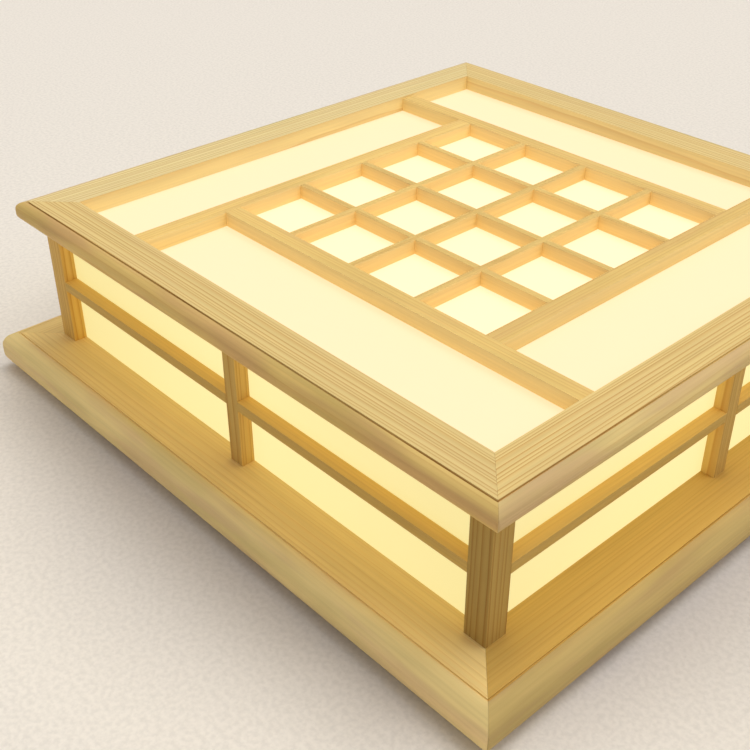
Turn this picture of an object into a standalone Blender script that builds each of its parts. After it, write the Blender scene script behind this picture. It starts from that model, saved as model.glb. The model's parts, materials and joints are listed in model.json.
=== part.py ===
"""Square pine ceiling lamp: a lattice-faced shade that lifts off a steel ceiling chassis.

The lamp lies on its back. The ceiling plane is z = 0, +Z points into the room, and the lamp's
centre line is the Z axis. A piece that repeats round the lamp is modelled once, for the front
side (y < 0) or the front left corner, and turned in quarter turns.
"""
from math import asin, cos, degrees, pi, radians, sin

import bmesh
import bpy
from mathutils import Matrix, Vector

MM = 0.001

# Fits and tolerances of the modelling
FIT = 0.3 * MM
CUT_OVERRUN = 2.0 * MM
WELD = 0.001 * MM
ON_PLANE = 0.01 * MM
SHARP_ANGLE = radians(32)

# Overall sizes
BASE_WIDTH = 450.0 * MM
FACE_SETBACK = 19.0 * MM
BASE_THICK = 26.5 * MM
SIDE_HEIGHT = 83.0 * MM

# Mouldings of the face frame and the base frame
FACE_RAIL_WIDTH = 30.0 * MM
FACE_NOSE = 6.0 * MM
FACE_LIP = 10.9 * MM
BASE_RAIL_WIDTH = 50.0 * MM
BASE_NOSE = 9.6 * MM
QUIRK_WIDTH = 1.0 * MM
QUIRK_DEPTH = 1.2 * MM
NOSE_DROP = 0.4 * MM
NOSE_STEPS = 12

# Lattice in the face
BAR_OFFSET = 110.0 * MM
BAR_WIDTH = 11.0 * MM
SLAT_WIDTH = 4.5 * MM
SLAT_COUNT = 3
LATTICE_DROP = 1.3 * MM
TENON_LENGTH = 6.0 * MM
TENON_SHOULDER = 2.2 * MM
SLAT_HOUSING = 2.5 * MM
SLAT_SHOULDER = 2.0 * MM

# Side walls
POST_INSET = 12.7 * MM
CORNER_POST = 14.2 * MM
MID_POST = 10.7 * MM
SIDE_DEPTH = 8.8 * MM
SIDE_RAIL_HEIGHT = 6.4 * MM
RAIL_TENON = 4.0 * MM
RAIL_SHOULDER = 1.5 * MM

# Diffuser sheets and the beads under the face sheet
FACE_SHEET = 1.5 * MM
SIDE_SHEET = 1.5 * MM
SHEET_HOUSING = 3.5 * MM
SHEET_RISE = 0.8 * MM
BEAD_THICK = 2.3 * MM
BEAD_WIDTH = 7.0 * MM
BEAD_ROUND = 1.5 * MM

# Chassis tray
SHEET_METAL = 1.5 * MM
TRAY_MARGIN = 10.0 * MM
TRAY_CORNER = 32.0 * MM
TRAY_DRAFT = 7.0 * MM
PAD_HEIGHT = 12.0 * MM
RIM_HEIGHT = 14.0 * MM
KEYHOLE_SPACING = 160.0 * MM
KEYHOLE_HEAD = 10.0 * MM
KEYHOLE_SLOT = 5.0 * MM
KEYHOLE_TRAVEL = 10.0 * MM

# Magnets that hold the shade, and the blocks that carry them
MAGNET_DIAMETER = 16.0 * MM
MAGNET_THICK = 5.0 * MM
MAGNET_INSET = 12.5 * MM
BLOCK_LEG = 66.0 * MM
BLOCK_THICK = 7.5 * MM

# Light engine on the tray
BOARD_LENGTH = 250.0 * MM
BOARD_WIDTH = 16.0 * MM
BOARD_THICK = 1.2 * MM
BOARD_NOTCH = 3.4 * MM
BOARD_INNER_ROW = 48.0 * MM
BOARD_OUTER_ROW = 112.0 * MM
LENS_COUNT = 8
LENS_DIAMETER = 12.0 * MM
LENS_RISE = 5.0 * MM
LENS_STRIP_WIDTH = 13.0 * MM
LENS_STRIP_THICK = 1.4 * MM
LENS_MARGIN = 10.0 * MM
DRIVER_LENGTH = 120.0 * MM
DRIVER_WIDTH = 34.0 * MM
DRIVER_HEIGHT = 22.0 * MM
DRIVER_EAR = 10.0 * MM
DRIVER_EAR_THICK = 2.4 * MM
DRIVER_SLOT = 4.2 * MM
DRIVER_EDGE = 1.6 * MM
DRIVER_X = 45.0 * MM
TERMINAL_POLES = 3
TERMINAL_PITCH = 9.0 * MM
TERMINAL_DEPTH = 18.0 * MM
TERMINAL_HEIGHT = 13.0 * MM
TERMINAL_WELL = 5.0 * MM
TERMINAL_WELL_DEPTH = 5.0 * MM
TERMINAL_BORE = 3.6 * MM
TERMINAL_X = -62.0 * MM
BUSH_X = -105.0 * MM
BUSH_BORE = 8.0 * MM
BUSH_COLLAR = 15.0 * MM
BUSH_FLANGE = 22.0 * MM
BUSH_HEIGHT = 2.4 * MM
ROUND_STEPS = 24
SMALL_ROUND_STEPS = 4

# Heights that follow from the sizes above
FACE_BOTTOM = BASE_THICK + SIDE_HEIGHT
SHEET_TOP = FACE_BOTTOM + SHEET_RISE
LIP_BOTTOM = SHEET_TOP + FIT + FACE_SHEET + FIT
FACE_TOP = LIP_BOTTOM + FACE_LIP
LATTICE_TOP = FACE_TOP - LATTICE_DROP
LATTICE_MID = (LIP_BOTTOM + LATTICE_TOP) / 2
SIDE_MID = BASE_THICK + SIDE_HEIGHT / 2
BENCH = SHEET_METAL + FIT

# Distances from the centre line that follow from the sizes above
BASE_OUTER = BASE_WIDTH / 2
BASE_INNER = BASE_OUTER - BASE_RAIL_WIDTH
FACE_OUTER = BASE_OUTER - FACE_SETBACK
FACE_INNER = FACE_OUTER - FACE_RAIL_WIDTH
POST_FACE = FACE_OUTER - POST_INSET
SIDE_BACK = POST_FACE - SIDE_DEPTH
SHEET_OUT = SIDE_BACK - FIT
SHEET_IN = SHEET_OUT - SIDE_SHEET
BAR_INNER = BAR_OFFSET - BAR_WIDTH / 2
TRAY_HALF = BASE_INNER - TRAY_MARGIN
MAGNET_AT = TRAY_HALF - MAGNET_INSET
TENON_WIDTH = BAR_WIDTH - 2 * TENON_SHOULDER
TENON_LOW = LIP_BOTTOM + TENON_SHOULDER
TENON_HIGH = LATTICE_TOP - TENON_SHOULDER
CELL = (2 * BAR_INNER - SLAT_COUNT * SLAT_WIDTH) / (SLAT_COUNT + 1)
SLAT_PITCH = CELL + SLAT_WIDTH
SLAT_CENTRES = [(i - (SLAT_COUNT - 1) / 2) * SLAT_PITCH for i in range(SLAT_COUNT)]

SIDES = ("front", "right", "back", "left")
CORNERS = ("front_left", "front_right", "back_right", "back_left")

# Axes of a prism: the direction it is extruded in, and where its outline's two coordinates go
ALONG_X = Matrix(((0, 0, 1), (1, 0, 0), (0, 1, 0)))
ALONG_Y = Matrix(((1, 0, 0), (0, 0, -1), (0, 1, 0)))
ALONG_Z = Matrix.Identity(3)


def clear_scene():
    """Remove every object of the open scene."""
    for item in list(bpy.data.objects):
        bpy.data.objects.remove(item, do_unlink=True)


def make_material(name, colour, roughness, metallic=0.0):
    """Return a Principled material of one colour."""
    material = bpy.data.materials.new(name)
    material.use_nodes = True
    shader = material.node_tree.nodes["Principled BSDF"]
    shader.inputs["Base Color"].default_value = (*colour, 1.0)
    shader.inputs["Roughness"].default_value = roughness
    shader.inputs["Metallic"].default_value = metallic
    return material


def finish_mesh(name, bm):
    """Turn a bmesh into a mesh whose faces point out and whose round faces are smooth."""
    bmesh.ops.recalc_face_normals(bm, faces=bm.faces)
    mesh = bpy.data.meshes.new(name)
    bm.to_mesh(mesh)
    bm.free()
    mesh.shade_smooth()
    mesh.set_sharp_from_angle(angle=SHARP_ANGLE)
    return mesh


def prism_bmesh(outline, low, high, axes):
    """Extrude a closed outline from low to high along the third of the given axes."""
    bm = bmesh.new()
    corners = [bm.verts.new(axes @ Vector((a, b, low))) for a, b in outline]
    cap = bm.faces.new(corners)
    grown = bmesh.ops.extrude_face_region(bm, geom=[cap])["geom"]
    raised = [item for item in grown if isinstance(item, bmesh.types.BMVert)]
    bmesh.ops.translate(bm, verts=raised, vec=axes @ Vector((0, 0, high - low)))
    return bm


def prism(name, outline, low, high, axes=ALONG_Z):
    """Return the mesh of an extruded outline."""
    return finish_mesh(name, prism_bmesh(outline, low, high, axes))


def box(name, low, high):
    """Return a block between two opposite corners."""
    outline = [(low[0], low[1]), (high[0], low[1]), (high[0], high[1]), (low[0], high[1])]
    return prism(name, outline, low[2], high[2])


def arc(centre, reach, start, end, steps):
    """Return points of an elliptical arc from start to end, in degrees."""
    angles = [radians(start + (end - start) * i / steps) for i in range(steps + 1)]
    return [(centre[0] + reach[0] * cos(a), centre[1] + reach[1] * sin(a)) for a in angles]


def circle(centre, radius, steps=ROUND_STEPS):
    """Return points round a circle, without repeating the first."""
    return arc(centre, (radius, radius), 0, 360, steps)[:-1]


def lathe(name, profile, steps=ROUND_STEPS):
    """Turn a closed profile of (radius, height) points round the Z axis."""
    bm = bmesh.new()
    ring = [bm.verts.new((radius, 0, height)) for radius, height in profile]
    edges = [bm.edges.new((ring[i - 1], ring[i])) for i in range(len(ring))]
    bmesh.ops.spin(
        bm, geom=ring + edges, axis=(0, 0, 1), cent=(0, 0, 0),
        angle=2 * pi, steps=steps, use_merge=True,
    )
    bmesh.ops.remove_doubles(bm, verts=bm.verts, dist=WELD)
    return finish_mesh(name, bm)


def combine(mesh, tools, operation="DIFFERENCE"):
    """Return the mesh after each tool mesh is cut from it or joined to it."""
    collection = bpy.context.scene.collection
    body = bpy.data.objects.new("combine_body", mesh)
    collection.objects.link(body)
    helpers = []
    for tool in tools:
        helper = bpy.data.objects.new("combine_tool", tool)
        collection.objects.link(helper)
        helpers.append(helper)
        modifier = body.modifiers.new("combine", "BOOLEAN")
        modifier.operation = operation
        modifier.solver = "EXACT"
        modifier.object = helper
    evaluated = body.evaluated_get(bpy.context.evaluated_depsgraph_get())
    result = bpy.data.meshes.new_from_object(evaluated)
    result.name = mesh.name
    for item in [body, *helpers]:
        bpy.data.objects.remove(item, do_unlink=True)
    return result


def place(name, mesh, material, parent, location=(0, 0, 0), quarter_turns=0):
    """Add one named piece to the scene under its body's empty."""
    mesh.materials.clear()
    mesh.materials.append(material)
    piece = bpy.data.objects.new(name, mesh)
    bpy.context.scene.collection.objects.link(piece)
    piece.location = location
    piece.rotation_euler.z = quarter_turns * pi / 2
    piece.parent = parent
    return piece


def ring_of_four(prefix, names, mesh, material, parent):
    """Place one mesh four times, a quarter turn apart."""
    for turn, name in enumerate(names):
        place(f"{prefix}_{name}", mesh, material, parent, quarter_turns=turn)


def add_tenon(bm, direction, shoulder, length):
    """Grow a shouldered tenon from the face that lies furthest along the given direction."""
    bmesh.ops.recalc_face_normals(bm, faces=bm.faces)
    end = max(bm.faces, key=lambda face: face.calc_center_median().dot(direction))
    bmesh.ops.inset_region(bm, faces=[end], thickness=shoulder, use_even_offset=True)
    grown = bmesh.ops.extrude_face_region(bm, geom=[end])["geom"]
    bmesh.ops.delete(bm, geom=[end], context="FACES_ONLY")
    tip = [item for item in grown if isinstance(item, bmesh.types.BMVert)]
    bmesh.ops.translate(bm, verts=tip, vec=direction * length)


def mitred_rail(name, profile):
    """Return the front rail of a square frame, cut at 45 degrees at both ends.

    The profile's points are (distance from the centre line, height).
    """
    bm = bmesh.new()
    ends = []
    for sign in (-1, 1):
        ends.append([bm.verts.new((sign * (out - FIT / 2), -out, z)) for out, z in profile])
        bm.faces.new(ends[-1])
    for i in range(len(profile)):
        bm.faces.new((ends[0][i - 1], ends[0][i], ends[1][i], ends[1][i - 1]))
    return finish_mesh(name, bm)


def moulded_edge(outer, nose, bottom, top):
    """Return the outer part of a frame rail's profile: the quirk, then the rounded nose."""
    quirk = outer - nose
    half = (top - NOSE_DROP - bottom) / 2
    notch = [
        (quirk - QUIRK_WIDTH, top),
        (quirk - QUIRK_WIDTH, top - QUIRK_DEPTH),
        (quirk, top - QUIRK_DEPTH),
    ]
    return notch + arc((quirk, bottom + half), (nose, half), 90, -90, NOSE_STEPS)


def face_rail():
    """Front rail of the face frame: moulded outside, rebated inside, mortised for its bar."""
    profile = [(FACE_INNER, LIP_BOTTOM), (FACE_INNER, FACE_TOP)]
    profile += moulded_edge(FACE_OUTER, FACE_NOSE, FACE_BOTTOM, FACE_TOP)
    profile += [(SIDE_BACK, FACE_BOTTOM), (SIDE_BACK, LIP_BOTTOM)]
    half = TENON_WIDTH / 2 + FIT
    mortise = box(
        "mortise",
        (-BAR_OFFSET - half, -FACE_INNER - TENON_LENGTH, TENON_LOW - FIT),
        (-BAR_OFFSET + half, -FACE_INNER + CUT_OVERRUN, TENON_HIGH + FIT),
    )
    return combine(mitred_rail("face_rail", profile), [mortise])


def base_rail():
    """Front rail of the base frame: moulded outside, grooved on top for the side sheet."""
    groove = BASE_THICK - SHEET_HOUSING
    profile = [
        (BASE_INNER, 0), (BASE_INNER, BASE_THICK),
        (SHEET_IN - FIT, BASE_THICK), (SHEET_IN - FIT, groove),
        (SIDE_BACK, groove), (SIDE_BACK, BASE_THICK),
    ]
    profile += moulded_edge(BASE_OUTER, BASE_NOSE, 0, BASE_THICK)
    return mitred_rail("base_rail", profile)


def lattice_bar():
    """Front bar of the pinwheel: from the front rail to the left bar, tenoned at both ends."""
    outline = [
        (-BAR_OFFSET - BAR_WIDTH / 2, -FACE_INNER + FIT),
        (-BAR_INNER, -FACE_INNER + FIT),
        (-BAR_INNER, BAR_INNER - FIT),
        (-BAR_OFFSET - BAR_WIDTH / 2, BAR_INNER - FIT),
    ]
    bm = prism_bmesh(outline, LIP_BOTTOM, LATTICE_TOP, ALONG_Z)
    for direction in (Vector((0, -1, 0)), Vector((0, 1, 0))):
        add_tenon(bm, direction, TENON_SHOULDER, TENON_LENGTH)
    bar = finish_mesh("lattice_bar", bm)
    half = TENON_WIDTH / 2 + FIT
    cuts = [box(
        "mortise",
        (-BAR_INNER - TENON_LENGTH, -BAR_OFFSET - half, TENON_LOW - FIT),
        (-BAR_INNER + CUT_OVERRUN, -BAR_OFFSET + half, TENON_HIGH + FIT),
    )]
    half = SLAT_WIDTH / 2 + FIT
    for centre in SLAT_CENTRES:
        cuts.append(box(
            "housing",
            (-BAR_INNER - SLAT_HOUSING - FIT, centre - half, LIP_BOTTOM - CUT_OVERRUN),
            (-BAR_INNER + CUT_OVERRUN, centre + half, LATTICE_TOP - SLAT_SHOULDER),
        ))
    return combine(bar, cuts)


def slat_outline(lapped_from_top):
    """Side view of a slat: housed ends, and half-lap notches from its top or its bottom."""
    tip = BAR_INNER + SLAT_HOUSING
    shoulder = BAR_INNER - FIT
    ledge = LATTICE_TOP - SLAT_SHOULDER - FIT
    half = SLAT_WIDTH / 2 + FIT
    edge = LATTICE_TOP if lapped_from_top else LIP_BOTTOM
    floor = LATTICE_MID - FIT / 2 if lapped_from_top else LATTICE_MID + FIT / 2
    notches = []
    for centre in SLAT_CENTRES:
        low, high = centre - half, centre + half
        notches += [(low, edge), (low, floor), (high, floor), (high, edge)]
    top = [(shoulder, LATTICE_TOP), (-shoulder, LATTICE_TOP)]
    if lapped_from_top:
        top = [top[0], *reversed(notches), top[1]]
    bottom = [(-tip, LIP_BOTTOM), (tip, LIP_BOTTOM)]
    if not lapped_from_top:
        bottom = [bottom[0], *notches, bottom[1]]
    return [*bottom, (tip, ledge), (shoulder, ledge), *top, (-shoulder, ledge), (-tip, ledge)]


def corner_post():
    """Front left post: rebated behind for two sheets, mortised for two side rails."""
    outer, inner = -POST_FACE, -POST_FACE + CORNER_POST
    outline = [
        (outer, outer), (inner, outer), (inner, -SIDE_BACK),
        (-SIDE_BACK, -SIDE_BACK), (-SIDE_BACK, inner), (outer, inner),
    ]
    post = prism("corner_post", outline, BASE_THICK + FIT, FACE_BOTTOM - FIT)
    near, far = outer + RAIL_SHOULDER - FIT, -SIDE_BACK - RAIL_SHOULDER + FIT
    half = SIDE_RAIL_HEIGHT / 2 - RAIL_SHOULDER + FIT
    low, high = SIDE_MID - half, SIDE_MID + half
    start, end = inner - RAIL_TENON, inner + CUT_OVERRUN
    cuts = [
        box("front_mortise", (start, near, low), (end, far, high)),
        box("left_mortise", (near, start, low), (far, end, high)),
    ]
    return combine(post, cuts)


def mid_post():
    """Front middle post, lapped behind so that the side rail crosses it flush."""
    low, high = BASE_THICK + FIT, FACE_BOTTOM - FIT
    lap = -SIDE_BACK - SIDE_DEPTH / 2 - FIT / 2
    half = SIDE_RAIL_HEIGHT / 2 + FIT
    outline = [
        (-POST_FACE, low), (-SIDE_BACK, low),
        (-SIDE_BACK, SIDE_MID - half), (lap, SIDE_MID - half),
        (lap, SIDE_MID + half), (-SIDE_BACK, SIDE_MID + half),
        (-SIDE_BACK, high), (-POST_FACE, high),
    ]
    return prism("mid_post", outline, -MID_POST / 2, MID_POST / 2, ALONG_X)


def side_rail():
    """Front side rail, lapped in front at the middle post and tenoned into the corner posts."""
    reach = POST_FACE - CORNER_POST - FIT
    lap = -SIDE_BACK - SIDE_DEPTH / 2 + FIT / 2
    half = MID_POST / 2 + FIT
    outline = [
        (-reach, -POST_FACE), (-half, -POST_FACE), (-half, lap),
        (half, lap), (half, -POST_FACE), (reach, -POST_FACE),
        (reach, -SIDE_BACK), (-reach, -SIDE_BACK),
    ]
    low = SIDE_MID - SIDE_RAIL_HEIGHT / 2
    bm = prism_bmesh(outline, low, low + SIDE_RAIL_HEIGHT, ALONG_Z)
    for direction in (Vector((-1, 0, 0)), Vector((1, 0, 0))):
        add_tenon(bm, direction, RAIL_SHOULDER, RAIL_TENON)
    return finish_mesh("side_rail", bm)


def side_diffuser():
    """Front side sheet: stands in the base groove and rises into the face rebate."""
    return box(
        "side_diffuser",
        (-SHEET_OUT, -SHEET_OUT, BASE_THICK - SHEET_HOUSING + FIT),
        (SHEET_IN - FIT, -SHEET_IN, SHEET_TOP),
    )


def face_diffuser():
    """Square sheet that lies in the face rebate, on the beads and the side sheets."""
    low = SHEET_TOP + FIT
    return box(
        "face_diffuser", (-SHEET_OUT, -SHEET_OUT, low), (SHEET_OUT, SHEET_OUT, low + FACE_SHEET)
    )


def diffuser_bead():
    """Front bead under the face sheet, with its inner lower edge rounded."""
    outer = SHEET_IN - FIT
    inner = outer - BEAD_WIDTH
    low = SHEET_TOP - BEAD_THICK
    centre = (-inner - BEAD_ROUND, low + BEAD_ROUND)
    outline = [(-outer, low)]
    outline += arc(centre, (BEAD_ROUND, BEAD_ROUND), -90, 0, SMALL_ROUND_STEPS)
    outline += [(-inner, SHEET_TOP), (-outer, SHEET_TOP)]
    return prism("diffuser_bead", outline, -outer, inner - FIT, ALONG_X)


def corner_block():
    """Three-cornered block glued inside the base frame's front left corner."""
    corner = -BASE_INNER + FIT
    low = PAD_HEIGHT + FIT + MAGNET_THICK + FIT
    outline = [(corner, corner), (corner + BLOCK_LEG, corner), (corner, corner + BLOCK_LEG)]
    return prism("corner_block", outline, low, low + BLOCK_THICK)


def magnet():
    """Disc magnet under the front left block, resting on the tray's pad."""
    low = PAD_HEIGHT + FIT
    outline = circle((-MAGNET_AT, -MAGNET_AT), MAGNET_DIAMETER / 2)
    return prism("magnet", outline, low, low + MAGNET_THICK)


def keyhole_outline(y):
    """Plan of one keyhole: a round head that narrows to a slot along +X."""
    head, slot = KEYHOLE_HEAD / 2, KEYHOLE_SLOT / 2
    meet = degrees(asin(slot / head))
    round_head = arc((0, y), (head, head), meet, 360 - meet, ROUND_STEPS)
    slot_end = arc((KEYHOLE_TRAVEL, y), (slot, slot), -90, 90, ROUND_STEPS // 2)
    return round_head + slot_end


def tray_surface():
    """Middle skin of the tray: a plate with four raised corners and a rim between them."""
    bm = bmesh.new()
    level = SHEET_METAL / 2
    edge = TRAY_HALF - SHEET_METAL / 2
    step = TRAY_HALF - TRAY_CORNER
    lines = (-edge, -step, step, edge)
    flat = {(i, j): bm.verts.new((x, y, level)) for i, x in enumerate(lines)
            for j, y in enumerate(lines) if not (i in (0, 3) and j in (0, 3))}
    for i, j in ((1, 0), (0, 1), (1, 1), (2, 1), (1, 2)):
        bm.faces.new((flat[i, j], flat[i + 1, j], flat[i + 1, j + 1], flat[i, j + 1]))
    pad_height = PAD_HEIGHT - SHEET_METAL / 2
    for sx in (-1, 1):
        for sy in (-1, 1):
            i, j = (1, 2)[sx > 0], (1, 2)[sy > 0]
            edge_i, edge_j = (0, 3)[sx > 0], (0, 3)[sy > 0]
            near = step + TRAY_DRAFT
            inner = bm.verts.new((sx * near, sy * near, pad_height))
            along_y = bm.verts.new((sx * near, sy * edge, pad_height))
            along_x = bm.verts.new((sx * edge, sy * near, pad_height))
            tip = bm.verts.new((sx * edge, sy * edge, pad_height))
            bm.faces.new((inner, along_x, tip, along_y))
            bm.faces.new((flat[i, j], flat[i, edge_j], along_y, inner))
            bm.faces.new((flat[i, j], inner, along_x, flat[edge_i, j]))
    sides = (((1, 0), (2, 0)), ((3, 1), (3, 2)), ((2, 3), (1, 3)), ((0, 2), (0, 1)))
    for first, second in sides:
        rise = Vector((0, 0, RIM_HEIGHT - level))
        raised = [bm.verts.new(flat[key].co + rise) for key in (first, second)]
        bm.faces.new((flat[first], flat[second], raised[1], raised[0]))
    bmesh.ops.recalc_face_normals(bm, faces=bm.faces)
    mesh = bpy.data.meshes.new("chassis_tray")
    bm.to_mesh(mesh)
    bm.free()
    return mesh


def chassis_tray():
    """Pressed steel tray: its skin made solid, then pierced for the cable and two keyholes."""
    carrier = bpy.data.objects.new("tray_carrier", tray_surface())
    bpy.context.scene.collection.objects.link(carrier)
    sheet = carrier.modifiers.new("sheet", "SOLIDIFY")
    sheet.thickness = SHEET_METAL
    sheet.offset = 0.0
    sheet.solidify_mode = "NON_MANIFOLD"
    sheet.nonmanifold_thickness_mode = "CONSTRAINTS"
    evaluated = carrier.evaluated_get(bpy.context.evaluated_depsgraph_get())
    solid = bpy.data.meshes.new_from_object(evaluated)
    solid.name = "chassis_tray"
    bpy.data.objects.remove(carrier, do_unlink=True)
    low, high = -CUT_OVERRUN, SHEET_METAL + CUT_OVERRUN
    cable = circle((BUSH_X, 0), BUSH_COLLAR / 2 + FIT)
    cuts = [prism("cable_hole", cable, low, high)]
    for y in (-KEYHOLE_SPACING / 2, KEYHOLE_SPACING / 2):
        cuts.append(prism("keyhole", keyhole_outline(y), low, high))
    return combine(solid, cuts)


def led_board():
    """Circuit board strip with a screw notch in each end."""
    half, side, notch = BOARD_LENGTH / 2, BOARD_WIDTH / 2, BOARD_NOTCH / 2
    outline = [(-half, -side), (half, -side)]
    outline += arc((half, 0), (notch, notch), 270, 90, ROUND_STEPS // 2)
    outline += [(half, side), (-half, side)]
    outline += arc((-half, 0), (notch, notch), 90, -90, ROUND_STEPS // 2)
    return prism("led_board", outline, BENCH, BENCH + BOARD_THICK)


def led_lens():
    """Moulded lens strip: a row of domes on a thin carrier."""
    low = BENCH + BOARD_THICK + FIT
    top = low + LENS_STRIP_THICK
    half = BOARD_LENGTH / 2 - LENS_MARGIN
    strip = box("led_lens", (-half, -LENS_STRIP_WIDTH / 2, low), (half, LENS_STRIP_WIDTH / 2, top))
    root = top - LENS_STRIP_THICK / 2
    pitch = 2 * half / LENS_COUNT
    profile = [(0, root), *arc((0, top), (LENS_DIAMETER / 2, LENS_RISE), 0, 90, SMALL_ROUND_STEPS)]
    profile.insert(1, (LENS_DIAMETER / 2, root))
    domes = []
    for i in range(LENS_COUNT):
        dome = lathe("dome", profile, ROUND_STEPS // 2)
        dome.transform(Matrix.Translation((pitch * (i + 0.5) - half, 0, 0)))
        domes.append(dome)
    return combine(strip, domes, "UNION")


def led_driver():
    """Driver case: a low box with a slotted ear at each end."""
    half, ear = DRIVER_LENGTH / 2, DRIVER_LENGTH / 2 + DRIVER_EAR
    shelf, top = BENCH + DRIVER_EAR_THICK, BENCH + DRIVER_HEIGHT
    outline = [
        (-ear, BENCH), (ear, BENCH), (ear, shelf), (half, shelf),
        (half, top), (-half, top), (-half, shelf), (-ear, shelf),
    ]
    bm = prism_bmesh(outline, -DRIVER_WIDTH / 2, DRIVER_WIDTH / 2, ALONG_Y)
    crown = [edge for edge in bm.edges if all(abs(v.co.z - top) < ON_PLANE for v in edge.verts)]
    bmesh.ops.bevel(bm, geom=crown, offset=DRIVER_EDGE, segments=2, profile=0.5, affect="EDGES")
    case = finish_mesh("led_driver", bm)
    slots = []
    for sign in (-1, 1):
        slot = circle((sign * (half + DRIVER_EAR / 2), 0), DRIVER_SLOT / 2, ROUND_STEPS // 2)
        slots.append(prism("slot", slot, BENCH - CUT_OVERRUN, shelf + CUT_OVERRUN))
    return combine(case, slots)


def terminal_block():
    """Terminal block with a screw well and a wire bore for each pole."""
    width = TERMINAL_POLES * TERMINAL_PITCH
    depth, top = TERMINAL_DEPTH / 2, BENCH + TERMINAL_HEIGHT
    block = box("terminal_block", (-width / 2, -depth, BENCH), (width / 2, depth, top))
    well_floor = top - TERMINAL_WELL_DEPTH
    bore_height = (BENCH + well_floor) / 2
    cuts = []
    for i in range(TERMINAL_POLES):
        x = (i - (TERMINAL_POLES - 1) / 2) * TERMINAL_PITCH
        well = circle((x, 0), TERMINAL_WELL / 2, ROUND_STEPS // 2)
        cuts.append(prism("well", well, well_floor, top + CUT_OVERRUN))
        bore = circle((x, bore_height), TERMINAL_BORE / 2, ROUND_STEPS // 2)
        cuts.append(prism("bore", bore, -depth - CUT_OVERRUN, depth + CUT_OVERRUN, ALONG_Y))
    return combine(block, cuts)


def cable_bush():
    """Bush that lines the cable hole: a flange on the tray and a collar in the hole."""
    bore, collar, flange = BUSH_BORE / 2, BUSH_COLLAR / 2, BUSH_FLANGE / 2
    top = BENCH + BUSH_HEIGHT
    return lathe("cable_bush", [
        (bore, FIT), (collar, FIT), (collar, BENCH), (flange, BENCH), (flange, top), (bore, top),
    ])


def add_body(name):
    """Add the empty that carries one rigid body, on the lamp's centre line."""
    empty = bpy.data.objects.new(name, None)
    bpy.context.scene.collection.objects.link(empty)
    return empty


def build_chassis():
    """Steel tray with its light engine, fixed to the ceiling."""
    body = add_body("chassis")
    steel = make_material("white_steel", (0.82, 0.82, 0.80), 0.45)
    place("chassis_tray", chassis_tray(), steel, body)
    board_white = make_material("board_white", (0.88, 0.88, 0.85), 0.5)
    lens_clear = make_material("lens_clear", (0.92, 0.93, 0.90), 0.2)
    board, lens = led_board(), led_lens()
    rows = (-BOARD_OUTER_ROW, -BOARD_INNER_ROW, BOARD_INNER_ROW, BOARD_OUTER_ROW)
    for number, y in enumerate(rows, start=1):
        place(f"led_board_{number}", board, board_white, body, (0, y, 0))
        place(f"led_lens_{number}", lens, lens_clear, body, (0, y, 0))
    white_plastic = make_material("white_plastic", (0.85, 0.85, 0.82), 0.4)
    place("led_driver", led_driver(), white_plastic, body, (DRIVER_X, 0, 0))
    cream_plastic = make_material("cream_plastic", (0.80, 0.77, 0.66), 0.4)
    place("terminal_block", terminal_block(), cream_plastic, body, (TERMINAL_X, 0, 0))
    rubber = make_material("black_rubber", (0.03, 0.03, 0.03), 0.8)
    place("cable_bush", cable_bush(), rubber, body, (BUSH_X, 0, 0))


def build_shade():
    """Timber shade with its diffuser sheets, lifted off along +Z."""
    body = add_body("shade")
    pine = make_material("pine", (0.72, 0.50, 0.24), 0.5)
    opal = make_material("opal_sheet", (0.98, 0.92, 0.70), 0.4)
    zinc = make_material("zinc_plate", (0.62, 0.62, 0.62), 0.3, 1.0)
    ring_of_four("base_rail", SIDES, base_rail(), pine, body)
    ring_of_four("corner_post", CORNERS, corner_post(), pine, body)
    ring_of_four("mid_post", SIDES, mid_post(), pine, body)
    ring_of_four("side_rail", SIDES, side_rail(), pine, body)
    ring_of_four("face_rail", SIDES, face_rail(), pine, body)
    ring_of_four("lattice_bar", SIDES, lattice_bar(), pine, body)
    half = SLAT_WIDTH / 2
    along_x = prism("slat_x", slat_outline(True), -half, half, ALONG_Y)
    along_y = prism("slat_y", slat_outline(False), -half, half, ALONG_X)
    for number, centre in enumerate(SLAT_CENTRES, start=1):
        place(f"lattice_slat_x{number}", along_x, pine, body, (0, centre, 0))
        place(f"lattice_slat_y{number}", along_y, pine, body, (centre, 0, 0))
    ring_of_four("diffuser_bead", SIDES, diffuser_bead(), pine, body)
    ring_of_four("side_diffuser", SIDES, side_diffuser(), opal, body)
    place("face_diffuser", face_diffuser(), opal, body)
    ring_of_four("corner_block", CORNERS, corner_block(), pine, body)
    ring_of_four("magnet", CORNERS, magnet(), zinc, body)


clear_scene()
build_chassis()
build_shade()
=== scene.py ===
"""Looks of a square pine ceiling lamp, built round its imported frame.

The lamp lies on its back on a pale floor with its light on, seen from above its front right
corner. Lengths are metres, the ceiling plane is z = 0, and +Z points into the room.
"""

from __future__ import annotations

import json
import logging
import random
from collections.abc import Callable, Iterable
from dataclasses import dataclass, field, replace
from enum import Enum
from math import cos, pi, radians, sin

import bmesh
import bpy
from mathutils import Matrix, Vector

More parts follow.
